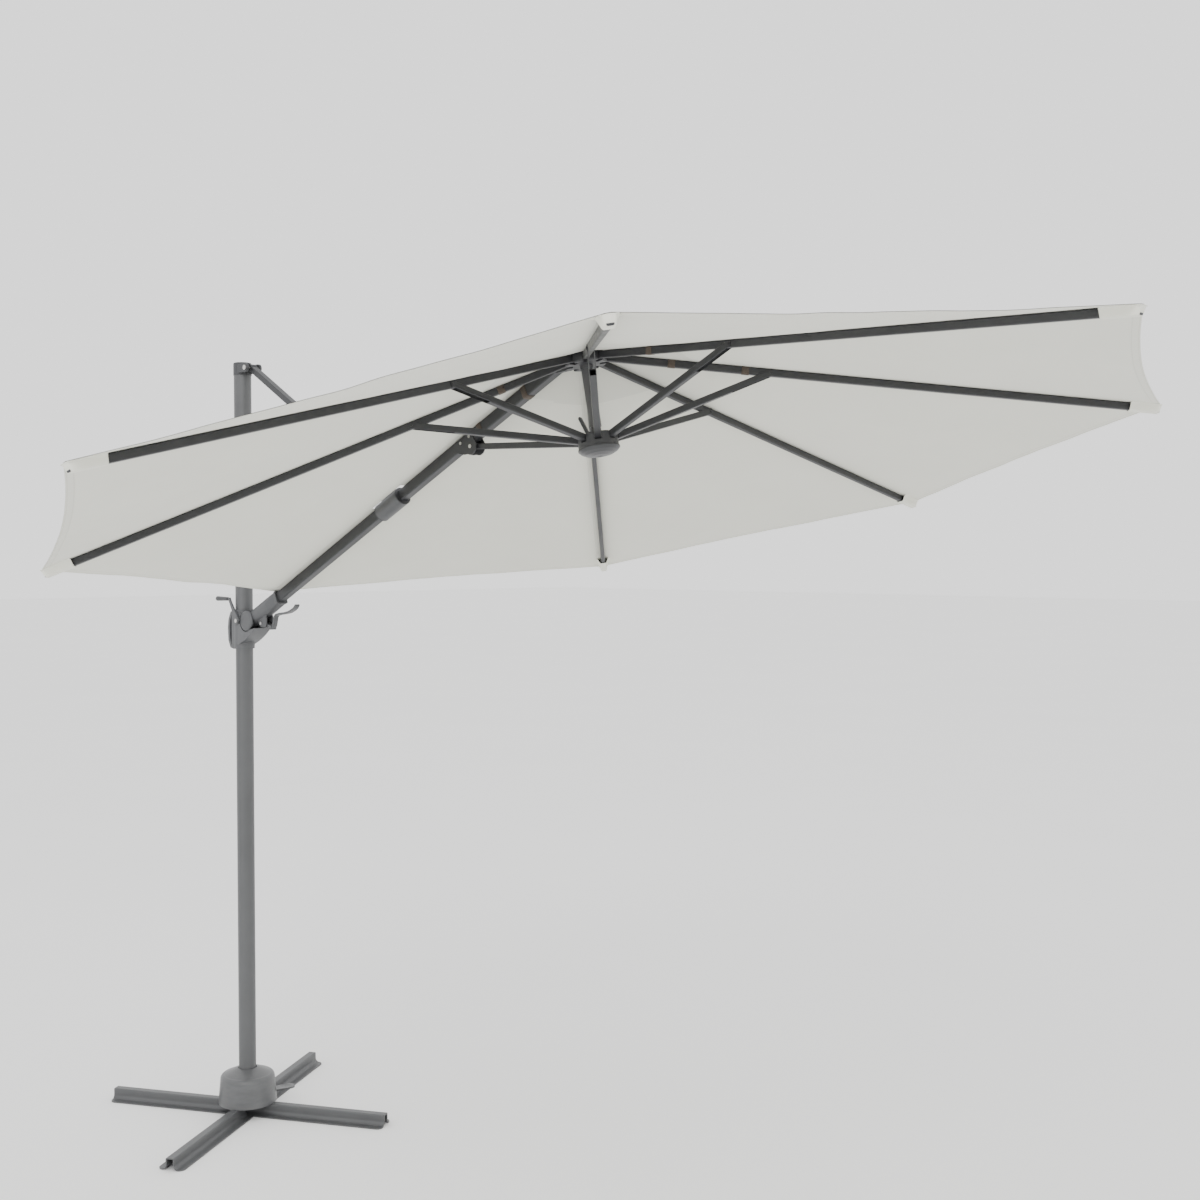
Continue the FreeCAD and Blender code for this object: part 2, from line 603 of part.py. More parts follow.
def make_tilt_lever():
    """A squeeze lever: its root lies between the ferrule's cheeks and its handle curves along the arm."""
    root = swept_bar([(56, -38), (96, -73)], 10.0, 7.0)
    handle = swept_bar([(96, -73), (108, -72), (120, -60), (130, -48), (140, -45), (160, -50), (190, -61),
                        (215, -68), (239, -70), (252, -69), (262, -65)], 8.0, 3.6)
    lever = fuse_all([root, handle]).cut(pin_y(3.05, 30, TILT_LEVER_PIN))
    return placed(lever, ARM_FRAME)


def make_tilt_lever_pin():
    pin = bolt_with_heads(TILT_LEVER_PIN, 3.0, 14.6, 5.0, 2.0)
    return placed(pin, ARM_FRAME)


# ---- knuckle and slider ----
KNUCKLE_R = 25.0
KNUCKLE_INNER = 9.3
DISC_R = 36.0
DISC_INNER = 27.2
DISC_OUTER = 36.0
PIVOT_BOLT_R = 6.0
PIVOT_BOLT_BLIND = 34.0   # the bolt stops inside the disc on the -Y side


def knuckle_disc(side, pivot):
    """One of the two domed discs that stand at the sides of the hinge."""
    disc = rod(DISC_R, pivot + Y_AXIS * side * DISC_INNER, pivot + Y_AXIS * side * DISC_OUTER)
    rim = [e for e in disc.Edges if abs(e.CenterOfMass.y - side * DISC_OUTER) < 0.01]
    return disc.makeFillet(7.5, rim)


def make_arm_knuckle():
    """A forked hinge on the slider pivot with the shaft that the arm's ferrule turns on."""
    pivot = V(0, 0, -ARM_ABOVE_PIVOT)
    barrel = pin_y(KNUCKLE_R, DISC_INNER, pivot)
    neck_half = KNUCKLE_R - 1
    neck_end = FERRULE_START - 0.4
    neck = box(0, neck_end, -DISC_INNER, DISC_INNER, pivot.z - neck_half, pivot.z + neck_half)
    neck = neck.common(rod(FERRULE_R - 0.5, V(-1, 0, 0), V(neck_end + 1, 0, 0)))
    shaft = rod(SHAFT_R, V(FERRULE_START - 8, 0, 0), V(ARM_START - 12, 0, 0))
    knuckle = fuse_all([barrel, neck, shaft] + [knuckle_disc(side, pivot) for side in (1, -1)])
    slot = pin_y(KNUCKLE_R + 1.5, KNUCKLE_INNER, pivot)
    slot = slot.fuse(box(-KNUCKLE_R - 2, 8, -KNUCKLE_INNER, KNUCKLE_INNER, -32, 32))
    bore_start = pivot - Y_AXIS * (PIVOT_BOLT_BLIND + 0.2)
    bore = rod(PIVOT_BOLT_R + 0.05, bore_start, pivot + Y_AXIS * (DISC_OUTER + 1))
    return placed(cut_all(knuckle, [slot, bore]), ARM_FRAME)


SLIDER_BORE = 32.0
SLIDER_R = 36.0
SLIDER_LOW = -98.0
SLIDER_HIGH = 38.0
CHEEK_INNER = 27.5
CHEEK_OUTER = 34.5
BARREL_SEAT_R = KNUCKLE_R + 1.5
DISC_SEAT_R = DISC_R + 1.3
GRIP_GAP = 22.5


def slider_outline(points):
    """Points given from the slider pivot, moved to their places beside the mast."""
    return [(x + PIVOT_X, z + SLIDER_PIVOT_Z) for x, z in points]


FIN_TIP = (54, -23)
FIN_CURVE = [FIN_TIP, (33, -40), (13, -54), (-8, -66), (-48, -84), (-88, SLIDER_LOW)]
FIN_TOP = [(-88, SLIDER_HIGH - 2), (-62, SLIDER_HIGH), (-40, 30), (-30, 14), (0, -20), (25, -29)]
GUSSET_INSIDE = [(-34, -68), (-8, -56), (13, -44), (34, -31)]


def make_slider_body():
    """A sleeve round the mast with a lug for the knuckle and two fin-shaped cheeks below it."""
    foot = V(0, 0, SLIDER_PIVOT_Z + SLIDER_LOW)
    head = V(0, 0, SLIDER_PIVOT_Z + SLIDER_HIGH)
    sleeve = rod(SLIDER_R, foot, head)
    lug_half = KNUCKLE_INNER - 0.5
    web = [(-42, -70), (-14, -58), (0, -KNUCKLE_R + 2), (0, KNUCKLE_R - 5), (-14, 14), (-42, 14)]
    lug = plate_xz(slider_outline(web), -lug_half, lug_half)
    lug = lug.fuse(pin_y(KNUCKLE_R - 3, lug_half, SLIDER_PIVOT))
    fin_edges = (slider_outline(FIN_TOP), slider_outline(FIN_CURVE))
    cheeks = [curved_plate(*fin_edges, *sides) for sides in ((CHEEK_INNER, CHEEK_OUTER),
                                                             (-CHEEK_OUTER, -CHEEK_INNER))]
    gusset_edges = (slider_outline(GUSSET_INSIDE), slider_outline(FIN_CURVE[:-1]))
    gusset = curved_plate(*gusset_edges, -CHEEK_INNER, CHEEK_INNER)
    body = fuse_all([sleeve, lug, gusset] + cheeks)
    for side in (1, -1):
        for radius, near, far in ((BARREL_SEAT_R, lug_half, DISC_INNER),
                                  (DISC_SEAT_R, DISC_INNER - 0.3, DISC_OUTER + 1)):
            seat = rod(radius, SLIDER_PIVOT + Y_AXIS * side * near, SLIDER_PIVOT + Y_AXIS * side * far)
            body = body.cut(seat)
    body = body.cut(rod(SLIDER_BORE, foot - Z_AXIS, head + Z_AXIS))
    body = body.cut(pin_y(PIVOT_BOLT_R + 0.05, 60, SLIDER_PIVOT))
    screw_start = CLAMP_AXIS - Y_AXIS * (CHEEK_OUTER + 2)
    return body.cut(rod(4.05, screw_start, CLAMP_AXIS - Y_AXIS * (CLAMP_SCREW_ROOT - 0.5)))


def make_slider_liner():
    """The plastic liner that runs on the mast."""
    foot = V(0, 0, SLIDER_PIVOT_Z + SLIDER_LOW + 1)
    head = V(0, 0, SLIDER_PIVOT_Z + SLIDER_HIGH - 1)
    return ring(SLIDER_BORE - 0.05, MAST_R + 0.4, foot, head)


GRIP_HALF_W = 20.0


def make_slider_grip():
    """A D-shaped hand grip on the back of the slider."""
    back = -SLIDER_R - 1.6
    half_depth = 5.5
    outline = [(0, 30), (-16, 24), (-GRIP_GAP - half_depth, 0), (-GRIP_GAP - 9.5, -30),
               (-GRIP_GAP - 6.5, -70), (-18, -92), (0, -96)]
    points = [(x + back, z + SLIDER_PIVOT_Z) for x, z in outline]
    bar = swept_bar(points, GRIP_HALF_W, half_depth)
    pad = box(back - 2, back + 11.6, -GRIP_HALF_W, GRIP_HALF_W, points[-1][1], points[0][1])
    grip = bar.fuse(pad)
    mast_side = rod(SLIDER_R + 0.05, V(0, 0, SLIDER_PIVOT_Z - 120), V(0, 0, SLIDER_PIVOT_Z + 60))
    return grip.cut(mast_side).removeSplitter()


def make_pivot_bolt():
    flush = DISC_OUTER - 0.2
    return rod(PIVOT_BOLT_R, SLIDER_PIVOT - Y_AXIS * PIVOT_BOLT_BLIND, SLIDER_PIVOT + Y_AXIS * flush)


CLAMP_AXIS = SLIDER_PIVOT + V(-46.0, 0, 0)
CLAMP_SCREW_ROOT = 31.0   # the screw's inner end, from the plane of the arm
CLAMP_PLATE_IN = SLIDER_R + 0.5
CLAMP_PLATE_OUT = CLAMP_PLATE_IN + 6.0


def make_clamp_screw():
    root = CLAMP_AXIS - Y_AXIS * CLAMP_SCREW_ROOT
    tip = CLAMP_AXIS - Y_AXIS * (CLAMP_PLATE_OUT + 1)
    head = rod(7.0, tip, tip - Y_AXIS * 2.0)
    return rod(4.0, root, tip).fuse(head).removeSplitter()


def make_clamp_lever():
    """A bent lever that tightens the slider on the mast."""
    middle = -(CLAMP_PLATE_IN + CLAMP_PLATE_OUT) / 2
    half = (CLAMP_PLATE_OUT - CLAMP_PLATE_IN) / 2
    outline = [(-9, -8), (8, -8), (14, 2), (-34, 64), (-44, 80), (-50, 80), (-50, 72), (-22, 24)]
    plate = plate_xz(outline, -half, half)
    boss = pin_y(11.0, half, ORIGIN)
    stub = swept_bar([(-46, 76), (-72, 75)], half, 3.4)
    lever = fuse_all([plate, boss, stub])
    lever = lever.cut(pin_y(4.05, 20, ORIGIN))
    return placed(lever, turned(0, Y_AXIS, CLAMP_AXIS + Y_AXIS * middle))


def make_clamp_lever_grip():
    """A moulded sleeve on the clamp lever's end, thicker towards its round tip."""
    middle = -(CLAMP_PLATE_IN + CLAMP_PLATE_OUT) / 2
    length = 66.0
    tip_r = 8.4
    dome = [math.radians(angle) for angle in (18, 36, 54, 72)]
    outline = [(0, 0), (6.2, 0), (tip_r, length)]
    outline += [(tip_r * math.cos(a), length + tip_r * math.sin(a)) for a in dome]
    outline += [(0, length + tip_r)]
    sleeve = placed(turned_profile(outline), turned(-90, Y_AXIS, V(-56, 0, 75.2)))
    core = swept_bar([(-46, 76), (-72, 75)], (CLAMP_PLATE_OUT - CLAMP_PLATE_IN) / 2 + 0.05, 3.45)
    return placed(sleeve.cut(core), turned(0, Y_AXIS, CLAMP_AXIS + Y_AXIS * middle))


# ---- hubs ----
SLOT_INNER_R = 36.0
HUB_SLOT_HALF = RIB_W / 2 + 0.5
RUNNER_SLOT_HALF = STRETCHER_SIZE / 2 + 0.5
TUBE_R = 16.0
TUBE_WALL = 2.0
ALL_SIDES = tuple(range(0, 360, 45))


def radial_pins(radius, half):
    """Eight short pins, each square to its spoke, on the pin circle."""
    return [placed(pin_y(radius, half, V(PIN_CIRCLE_R, 0, 0)), turned(a, Z_AXIS)) for a in ALL_SIDES]


def make_top_hub():
    """A crown with eight slots that open outwards and downwards, so the ribs can fold down."""
    profile = [(0, -15), (HUB_R - 3, -15), (HUB_R, -12), (HUB_R, 11), (HUB_R - 4, 15), (0, 15)]
    hub = turned_profile(profile)
    slots = []
    for azimuth in ALL_SIDES:
        top = 30 if azimuth == ARM_SIDE else 12.5
        slot = box(SLOT_INNER_R, HUB_R + 5, -HUB_SLOT_HALF, HUB_SLOT_HALF, -20, top)
        slots.append(placed(slot, turned(azimuth, Z_AXIS)))
    hub = cut_all(hub, slots)
    hub = hub.cut(rod(TUBE_R + 0.05, V(0, 0, -20), V(0, 0, -2)))
    return placed(cut_all(hub, radial_pins(3.0, 14.5)), HUB_FRAME)


def make_hub_pins():
    return placed(Part.makeCompound(radial_pins(3.0, 14.5)), HUB_FRAME)


def make_hub_cap():
    """A moulded dome on the crown, notched where the arm's tongue comes through."""
    profile = [(0, 15), (34, 15), (34, 22), (22, 29), (10, 32), (0, 33)]
    return placed(turned_profile(profile), HUB_FRAME)


TUBE_END = -HUB_GAP + 34.0


def make_centre_tube():
    """A tube below the crown; the runner's spigot seats in its open end."""
    tube = ring(TUBE_R, TUBE_R - TUBE_WALL, V(0, 0, TUBE_END), V(0, 0, -2))
    collar = ring(TUBE_R + 2, TUBE_R, V(0, 0, -26), V(0, 0, -15))
    return placed(fuse_all([tube, collar]), HUB_FRAME)


RUNNER_RIM_Z = -30.0
LATCH_SIDE = 202.5
LATCH_PIVOT = V(24.0, 0, 17.0)


def make_runner():
    """The lower hub: slots for the stretchers above a domed rim, and a spigot for the centre tube."""
    profile = [(0, RUNNER_RIM_Z - 17), (20, RUNNER_RIM_Z - 16), (38, RUNNER_RIM_Z - 12),
               (50, RUNNER_RIM_Z - 6), (HUB_R, RUNNER_RIM_Z + 1), (HUB_R, RUNNER_RIM_Z + 5),
               (HUB_R - 2, RUNNER_RIM_Z + 7), (HUB_R - 2, 8), (HUB_R - 5, 11), (0, 11)]
    runner = turned_profile(profile)
    dimple = Part.makeSphere(30.0, V(0, 0, RUNNER_RIM_Z - 17 - 28.0))
    runner = runner.cut(dimple)
    slot = box(SLOT_INNER_R, HUB_R + 5, -RUNNER_SLOT_HALF, RUNNER_SLOT_HALF, -11, 20)
    slots = [placed(slot, turned(azimuth, Z_AXIS)) for azimuth in ALL_SIDES]
    runner = cut_all(runner, slots)
    spigot = rod(TUBE_R - TUBE_WALL - 0.6, V(0, 0, 10), V(0, 0, 48))
    ears = []
    for side in (1, -1):
        inner, outer = sorted((side * 4.8, side * 7.8))
        ear = box(LATCH_PIVOT.x - 5, LATCH_PIVOT.x + 5, inner, outer, 9, LATCH_PIVOT.z + 5)
        ears.append(ear.cut(pin_y(1.55, 20, LATCH_PIVOT)))
    ears = [placed(ear, turned(LATCH_SIDE, Z_AXIS)) for ear in ears]
    runner = fuse_all([runner, spigot] + ears)
    return placed(cut_all(runner, radial_pins(3.0, 13.5)), RUNNER_FRAME)


def make_runner_pins():
    return placed(Part.makeCompound(radial_pins(3.0, 13.5)), RUNNER_FRAME)


def make_latch_lever():
    """The finger lever beside the tube that lets the runner go."""
    lever = swept_bar([(LATCH_PIVOT.x, LATCH_PIVOT.z), (30, 34), (41, 66)], 4.2, 4.4)
    lever = lever.cut(pin_y(1.55, 20, LATCH_PIVOT))
    return placed(placed(lever, turned(LATCH_SIDE, Z_AXIS)), RUNNER_FRAME)


def make_latch_pin():
    pin = pin_y(1.5, 8.6, LATCH_PIVOT)
    return placed(placed(pin, turned(LATCH_SIDE, Z_AXIS)), RUNNER_FRAME)


# ---- ribs and stretchers ----
RIB_END = RIB_REACH - 14.0


def make_rib(azimuth):
    """One rib: its tube, the plug in its tip, and the rivet that carries its stretcher."""
    tube = rect_tube(0, RIB_END, RIB_W, RIB_H, RIB_WALL, 3.0)
    eye = pin_y(RIB_H / 2, RIB_W / 2, ORIGIN)
    plug_half_w = RIB_W / 2 - RIB_WALL
    plug_half_h = RIB_H / 2 - RIB_WALL
    end_plug = box(0, 26, -plug_half_w, plug_half_w, -plug_half_h, plug_half_h)
    tube = fuse_all([tube, eye, end_plug])
    tube = tube.cut(pin_y(3.05, 20, ORIGIN))
    tube = tube.cut(pin_y(2.55, 20, V(FOLD_LINK, 0, 0)))
    tip = rounded_bar(RIB_END - 20, RIB_END, RIB_W - 2 * RIB_WALL - 0.2, RIB_H - 2 * RIB_WALL - 0.2, 1.5)
    tip = tip.fuse(rounded_bar(RIB_END, RIB_END + 9, RIB_W, RIB_H, 3.0))
    rivet = bolt_with_heads(V(FOLD_LINK, 0, 0), 2.5, STRETCHER_SIZE / 2 + 0.05, 4.5, 1.8)
    return placed(Part.makeCompound([tube, tip, rivet]), rib_frame(azimuth))


FORK_LENGTH = 118.0
OPEN_PIVOT_R = 3.3


def make_stretcher(azimuth):
    """A square tube, forked where it straddles the rib and rounded where it enters the runner."""
    size = STRETCHER_SIZE
    tube = rect_tube(0, FOLD_LINK, size, size, STRETCHER_WALL, 3.0)
    eye = pin_y(size / 2, size / 2, ORIGIN)
    foot = pin_y(size / 2, size / 2, V(FOLD_LINK, 0, 0))
    foot_plug = box(FOLD_LINK - 24, FOLD_LINK, -7, 7, -7, 7)
    tube = fuse_all([tube, eye, foot, foot_plug])
    gap = RIB_W / 2 + 0.5
    tube = tube.cut(box(-size, FORK_LENGTH, -gap, gap, -size, size))
    pivot_r, runner_r = (3.05, 3.05) if azimuth == ARM_SIDE else (2.55, OPEN_PIVOT_R)
    tube = tube.cut(pin_y(pivot_r, 20, ORIGIN))
    return placed(tube.cut(pin_y(runner_r, 20, V(FOLD_LINK, 0, 0))), stretcher_frame(azimuth))


# ---- canopy ----
SPINE_HALF = ARM_W / 2 + BRACKET_PLATE + 2.5
ARM_SIDE_REACH = 51.0     # the cloth goes this much further down the arm than down the ribs


def cloth_point(azimuth, radius, side=0, extra=0.0):
    """A point on the cloth above a rib. Over the arm, side picks an edge of the strip that lies on it."""
    on_arm = azimuth == ARM_SIDE
    cover = PIN_DROP + ARM_H / 2 if on_arm else RIB_H / 2
    lift = (cover + FABRIC_GAP) / math.sin(math.radians(RIB_ANGLE)) + extra
    drop = (radius - PIN_CIRCLE_R) / math.tan(math.radians(RIB_ANGLE))
    offset = side * SPINE_HALF if on_arm else 0.0
    return turned(azimuth, Z_AXIS).multVec(V(radius, offset, lift - drop))


def hem_radius(azimuth):
    """How far out the cloth reaches on a rib, from the canopy's axis."""
    reach = RIB_REACH + (ARM_SIDE_REACH if azimuth == ARM_SIDE else 0.0)
    return PIN_CIRCLE_R + reach * math.sin(math.radians(RIB_ANGLE))


def cloth_panel(corners):
    return Part.Face(Part.makePolygon(corners + corners[:1])).extrude(Z_AXIS * FABRIC)


def hem_points(start, end, towards, sag):
    """Points of a shallow curve from start to end, hollow towards the canopy's middle."""
    points = []
    for share in (0.2, 0.4, 0.6, 0.8):
        straight = start * (1 - share) + end * share
        inwards = (towards - straight).normalize()
        points.append(straight + inwards * sag * 4 * share * (1 - share))
    return points


def onto_plane(point, a, b, c):
    """The point straight above or below, on the plane through a, b and c."""
    normal = (b - a).cross(c - a)
    return point + Z_AXIS * (normal.dot(a - point) / normal.z)


def cloth_gore(azimuth):
    """The cloth between one rib and the next: flat, or two flat pieces where the arm lifts one side."""
    following = (azimuth + 45) % 360
    near_in, near_out = [cloth_point(azimuth, r, 1) for r in (CANOPY_INNER_R, hem_radius(azimuth))]
    far_in, far_out = [cloth_point(following, r, -1) for r in (CANOPY_INNER_R, hem_radius(following))]
    hem = hem_points(near_out, far_out, (near_in + far_in) * 0.5, HEM_SAG)
    if following == ARM_SIDE:
        hem = [onto_plane(p, near_in, near_out, far_out) for p in hem]
        return [[near_in, near_out] + hem + [far_out], [near_in, far_out, far_in]]
    if azimuth == ARM_SIDE:
        hem = [onto_plane(p, far_in, near_out, far_out) for p in hem]
        return [[far_in, near_out] + hem + [far_out], [near_in, near_out, far_in]]
    return [[near_in, near_out] + hem + [far_out, far_in]]


def make_canopy():
    """The cloth, open at the vent and slit where the collar and the strut come through."""
    outer_r = hem_radius(ARM_SIDE)
    outlines = [outline for azimuth in ALL_SIDES for outline in cloth_gore(azimuth)]
    outlines.append([cloth_point(ARM_SIDE, r, side) for r, side in
                     ((CANOPY_INNER_R, -1), (outer_r, -1), (outer_r, 1), (CANOPY_INNER_R, 1))])
    cloth = placed(fuse_all([cloth_panel(outline) for outline in outlines]), HUB_FRAME)
    slit = box(COLLAR_AT - SLIT_HALF_L, COLLAR_AT + SLIT_HALF_L, -SLIT_HALF_W, SLIT_HALF_W, -60, 120)
    return cloth.cut(placed(slit, ARM_FRAME))


def make_vent_cap():
    """The small second roof over the vent, rising to a point above the crown."""
    peak = V(0, 0, VENT_PEAK)
    outlines = []
    for azimuth in ALL_SIDES:
        near = cloth_point(azimuth, VENT_R, 1, VENT_RISE)
        far = cloth_point((azimuth + 45) % 360, VENT_R, -1, VENT_RISE)
        outlines.append([peak, near, far])
    outlines.append([peak] + [cloth_point(ARM_SIDE, VENT_R, side, VENT_RISE) for side in (-1, 1)])
    return placed(fuse_all([cloth_panel(outline) for outline in outlines]), HUB_FRAME)


def write(node, shape):
    shape.exportStep(os.path.join("parts", node + ".step"))


def main():
    os.makedirs("parts", exist_ok=True)
    lower, upper = make_beams()
    base = {"beam_lower": lower, "beam_upper": upper, "base_socket": make_base_socket(),
            "beam_bolts": make_beam_bolts(), "socket_bearings": make_socket_bearings(),
            "base_cover": make_base_cover(), "brake_pedal": make_brake_pedal(),
            "pedal_pin": make_pedal_pin(), "pedal_spring": make_pedal_spring()}
    for node, shape in base.items():
        write(node, placed(shape, BASE_FRAME))
    above = {"mast": make_mast, "brake_ring": make_brake_ring, "mast_head": make_mast_head,
             "mast_head_bolt": make_mast_head_bolt, "strut": make_strut, "arm_collar": make_arm_collar,
             "strut_bolt": make_strut_bolt, "arm": make_arm, "arm_ferrule": make_arm_ferrule,
             "collar_bush": make_collar_bush, "arm_head": make_arm_head,
             "stretcher_bracket": make_stretcher_bracket, "bracket_rivets": make_bracket_rivets,
             "bracket_pin": make_bracket_pin, "tilt_lever": make_tilt_lever,
             "tilt_lever_pin": make_tilt_lever_pin, "arm_knuckle": make_arm_knuckle,
             "slider_body": make_slider_body, "slider_liner": make_slider_liner,
             "slider_grip": make_slider_grip, "pivot_bolt": make_pivot_bolt,
             "clamp_screw": make_clamp_screw, "clamp_lever": make_clamp_lever,
             "clamp_lever_grip": make_clamp_lever_grip, "top_hub": make_top_hub, "hub_pins": make_hub_pins,
             "hub_cap": make_hub_cap, "centre_tube": make_centre_tube, "canopy": make_canopy,
             "vent_cap": make_vent_cap, "runner": make_runner, "runner_pins": make_runner_pins,
             "latch_lever": make_latch_lever, "latch_pin": make_latch_pin}
    for node, maker in above.items():
        write(node, maker())
    for letter, azimuth in RIBS.items():
        write("rib_" + letter, make_rib(azimuth))
        write("stretcher_" + letter, make_stretcher(azimuth))
    write("stretcher_c", make_stretcher(ARM_SIDE))


main()
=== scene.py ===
import json
import math
import bpy
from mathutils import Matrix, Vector, noise


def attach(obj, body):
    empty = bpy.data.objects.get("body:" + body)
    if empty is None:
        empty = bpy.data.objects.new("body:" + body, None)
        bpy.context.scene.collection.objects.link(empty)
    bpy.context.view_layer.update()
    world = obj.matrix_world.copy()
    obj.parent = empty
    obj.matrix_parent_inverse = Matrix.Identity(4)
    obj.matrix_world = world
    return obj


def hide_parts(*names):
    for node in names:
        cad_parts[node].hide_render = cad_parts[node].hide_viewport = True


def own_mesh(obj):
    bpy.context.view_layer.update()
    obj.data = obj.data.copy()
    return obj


# Looks for the cantilever parasol: cloth, seams, straps, finishes, light and camera. Metres.

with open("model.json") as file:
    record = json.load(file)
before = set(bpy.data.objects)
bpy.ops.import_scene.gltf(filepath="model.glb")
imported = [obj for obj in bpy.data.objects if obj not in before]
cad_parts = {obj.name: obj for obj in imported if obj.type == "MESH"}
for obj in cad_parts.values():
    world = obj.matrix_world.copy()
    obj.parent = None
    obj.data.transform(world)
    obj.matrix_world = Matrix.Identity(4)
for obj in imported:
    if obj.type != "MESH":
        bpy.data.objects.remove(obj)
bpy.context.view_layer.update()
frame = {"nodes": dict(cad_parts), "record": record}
JOINTS = {joint["name"]: joint for joint in frame["record"]["behaviour"]["joints"]}

# ---- the canopy's dimensions ----
# The ribs, the arm and the slit are the CAD part's. The cloth's own reach on the arm and the
# height of the vent's roof differ a little from the CAD stand-ins that it takes the place of.
RIB_ANGLE = math.radians(76.0)     # between a rib and the centre tube
RIB_REACH = 1.507          # from a rib's hub pin to the canopy's corner
RIB_TOP = 0.010            # a rib's top face above the line of the canopy's pins
ARM_TOP = 0.045            # the arm's top face above the line of the canopy's pins
RIB_FLAT = 0.005           # half the width of cloth that lies flat on a rib
ARM_FLAT = 0.021           # the same on the arm
CLOTH_GAP = 0.0016         # from a rib's top face to the middle of the cloth
CLOTH_THICK = 0.0009
INNER_R = 0.075            # the cloth's inner edge, round the hub
HEM_SAG = 0.026            # how far the hem curves in between two ribs
GORE_SAG = 0.010           # how far a gore hangs between two ribs
VENT_R = 0.290
VENT_START = 0.06          # the share of the vent roof's slope that is left open at its peak
VENT_PEAK = 0.070          # above the hub
VENT_RISE = 0.0145         # the vent roof's rim above the canopy
VENT_HEM_SAG = 0.008
VENT_SAG = 0.004
SLIT = ((0.799, 0.955), 0.033)     # along the arm from the hub pin, and half its width
ARM_SIDE_REACH = 0.078     # the cloth goes this much further down the arm than down the ribs
LIP_AT = (1.548, 1.566)    # from the hub pin: where the cloth rises over the ferrule's lip
LIP_RISE = 0.0085
PIN_DROP = 0.028           # the arm's centre line above the line of the canopy's pins
ARM_HALF = (0.015, 0.017)          # half the width and height of the arm inside a strap
RIB_HALF = (0.007, 0.010)          # half the width and height of a rib
HEM_BAND = 0.022           # the doubled cloth at the hem
GORE = 45                  # degrees from one rib to the next
HALF_GORE = math.radians(GORE / 2)
BROAD_RIPPLE = (5.0, 0.004)        # waves per metre and height of the cloth's unevenness
FINE_RIPPLE = (14.0, 0.0012)
AZIMUTHS = {"g": 0, "f": 45, "e": 90, "d": 135, "c": 180, "b": 225, "a": 270, "h": 315}


def joint_point(name):
    return Vector(JOINTS[name]["pos_m"])


PIN_E = joint_point("rib_fold_e")
PIN_A = joint_point("rib_fold_a")
HUB = (PIN_E + PIN_A) / 2
PIN_R = (PIN_E - PIN_A).length / 2
OUT_G = (joint_point("rib_fold_g") - HUB).normalized()
UP = OUT_G.cross(Vector(JOINTS["rib_fold_g"]["axis"])).normalized()
SIDE = UP.cross(OUT_G)


def spoke(azimuth):
    """The outward and the tangential direction of a rib."""
    angle = math.radians(azimuth)
    out = OUT_G * math.cos(angle) + SIDE * math.sin(angle)
    return out, UP.cross(out)


# ---- node helpers ----
class Nodes:
    """A short way to write a material's node tree."""

    def __init__(self, name, color, roughness, metallic=0.0):
        self.material = bpy.data.materials.new(name)
        self.material.use_nodes = True
        self.tree = self.material.node_tree
        self.shader = self.tree.nodes["Principled BSDF"]
        self.shader.inputs["Base Color"].default_value = (*color, 1.0)
        self.shader.inputs["Roughness"].default_value = roughness
        self.shader.inputs["Metallic"].default_value = metallic

    def add(self, kind, **values):
        node = self.tree.nodes.new(kind)
        for key, value in values.items():
            setattr(node, key, value)
        return node

    def link(self, source, target):
        self.tree.links.new(source, target)

    def place(self):
        return self.add("ShaderNodeTexCoord").outputs["Object"]

    def noise(self, vector, scale, detail=4.0, roughness=0.55, stretch=None):
        if stretch is not None:
            mapping = self.add("ShaderNodeMapping")
            mapping.inputs["Scale"].default_value = stretch
            self.link(vector, mapping.inputs["Vector"])
            vector = mapping.outputs["Vector"]
        node = self.add("ShaderNodeTexNoise")
        node.inputs["Scale"].default_value = scale
        node.inputs["Detail"].default_value = detail
        node.inputs["Roughness"].default_value = roughness
        self.link(vector, node.inputs["Vector"])
        return node.outputs["Fac"]

    def math(self, operation, first, second=None, third=None):
        node = self.add("ShaderNodeMath", operation=operation)
        for slot, value in enumerate((first, second, third)):
            if value is None:
                continue
            if isinstance(value, (int, float)):
                node.inputs[slot].default_value = value
            else:
                self.link(value, node.inputs[slot])
        return node.outputs[0]

    def ramp(self, value, low, high, out_low=0.0, out_high=1.0):
        node = self.add("ShaderNodeMapRange")
        node.inputs["From Min"].default_value = low
        node.inputs["From Max"].default_value = high
        node.inputs["To Min"].default_value = out_low
        node.inputs["To Max"].default_value = out_high
        self.link(value, node.inputs["Value"])
        return node.outputs[0]

    def mix(self, factor, first, second):
        node = self.add("ShaderNodeMix", data_type="RGBA")
        self.link(factor, node.inputs["Factor"])
        for slot, value in ((6, first), (7, second)):
            if isinstance(value, tuple):
                node.inputs[slot].default_value = (*value, 1.0)
            else:
                self.link(value, node.inputs[slot])
        return node.outputs[2]

    def bump(self, height, strength, distance, normal=None):
        node = self.add("ShaderNodeBump")
        node.inputs["Strength"].default_value = strength
        node.inputs["Distance"].default_value = distance
        self.link(height, node.inputs["Height"])
        if normal is not None:
            self.link(normal, node.inputs["Normal"])
        return node.outputs["Normal"]

    def set_color(self, value):
        self.link(value, self.shader.inputs["Base Color"])

    def set_roughness(self, value):
        self.link(value, self.shader.inputs["Roughness"])

    def set_normal(self, value):
        self.link(value, self.shader.inputs["Normal"])


def shade(color, factor):
    return tuple(min(1.0, channel * factor) for channel in color)


